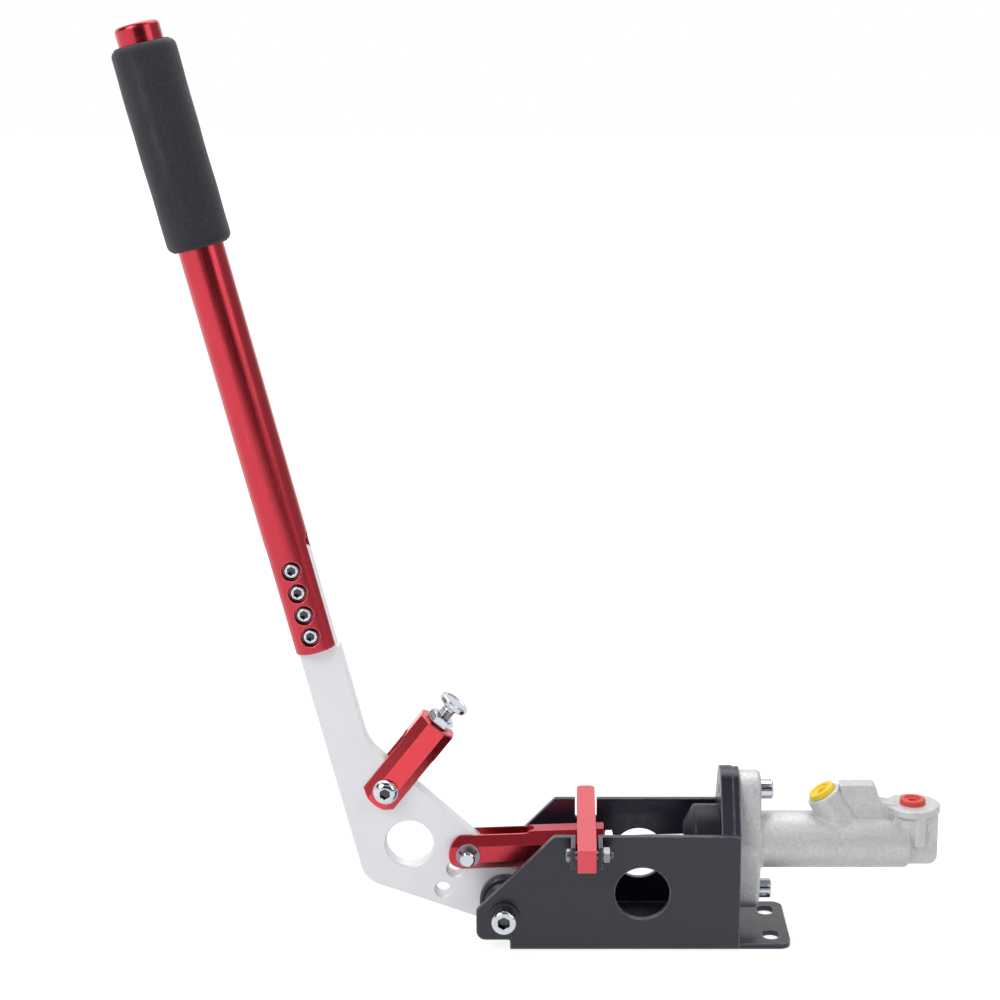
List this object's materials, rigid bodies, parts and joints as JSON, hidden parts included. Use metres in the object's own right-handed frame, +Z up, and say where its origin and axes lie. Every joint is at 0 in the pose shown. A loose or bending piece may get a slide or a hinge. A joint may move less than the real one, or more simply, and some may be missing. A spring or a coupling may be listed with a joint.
{
  "type": "hydraulic hand brake lever",
  "caption": "Upright hand brake lever with foam grip on a folded sheet base, pushing a master cylinder through an octagonal link, with a swing arm and a hinged cross bar to hold it.",
  "frame": {"origin": "underside of the base, half way along its floor, in the middle plane", "axes": "+X from the lever towards the master cylinder, +Z up, +Y across, away from the side with the bar hinge"},
  "size_m": [0.4318, 0.099, 0.4871],
  "materials": {
    "black_coat": "satin",
    "red_anodised": "satin",
    "bare_aluminium": "bead blasted",
    "cast_aluminium": "cast",
    "zinc": "bright",
    "steel": "plain",
    "black_plastic": "satin",
    "rubber": "matt",
    "foam": "matt",
    "yellow_plastic": "gloss",
    "red_plastic": "gloss",
    "brass": "machined"
  },
  "bodies": {
    "base": {"base_channel": "black_coat", "hinge_lugs": "black_coat", "end_plate": "black_coat", "adapter_plate": "black_coat", "pivot_bolt": "zinc", "pivot_washers": "black_plastic", "pivot_nut": "zinc", "pivot_sleeve": "steel", "cylinder_body": "cast_aluminium", "flange_screws": "zinc", "dust_boot": "rubber", "inlet_plug": "yellow_plastic", "outlet_plug": "red_plastic", "end_plug": "black_plastic", "stop_washer": "steel", "circlip": "steel", "return_spring": "steel", "hinge_bolt": "zinc", "hinge_nut": "zinc"},
    "lever": {"lever_plate": "bare_aluminium", "pivot_bushes": "black_plastic", "handle_tube": "red_anodised", "handle_screws": "zinc", "foam_grip": "foam", "end_cap": "red_anodised"},
    "link": {"push_link": "red_anodised", "clevis_pin": "zinc", "pin_clips": "steel", "push_rod": "zinc", "rod_nut": "zinc"},
    "piston": {"piston": "brass", "piston_seals": "rubber"},
    "arm": {"hold_arm": "red_anodised", "arm_bolt": "zinc", "arm_nut": "zinc", "adjuster": "zinc", "adjuster_nut": "zinc"},
    "bar": {"cross_bar": "red_anodised"}
  },
  "joints": [
    {"name": "lever_pull", "type": "hinge", "parent": "base", "child": "lever", "pos_m": [-0.0785, 0, 0.0195], "axis": [0, 1, 0], "range_deg": [0, 35]},
    {"name": "link_swing", "type": "hinge", "parent": "lever", "child": "link", "pos_m": [-0.09853, 0, 0.04623], "axis": [0, 1, 0], "range_deg": [-33, 0]},
    {"name": "piston_slide", "type": "slide", "parent": "base", "child": "piston", "axis": [1, 0, 0], "range_m": [0, 0.0196], "stiffness_N_per_m": 600, "springref_m": -0.02, "deforming": ["return_spring"]},
    {"name": "arm_swing", "type": "hinge", "parent": "lever", "child": "arm", "pos_m": [-0.1426, 0, 0.0824], "axis": [0, 1, 0], "range_deg": [-20, 45]},
    {"name": "bar_lift", "type": "hinge", "parent": "base", "child": "bar", "pos_m": [-0.0345, -0.041, 0.0583], "axis": [1, 0, 0], "range_deg": [0, 100]}
  ],
  "couplings": [
    {"joint": "link_swing", "follows": "lever_pull", "ratio": -0.915},
    {"joint": "piston_slide", "follows": "lever_pull", "m_per_rad": 0.03118}
  ]
}
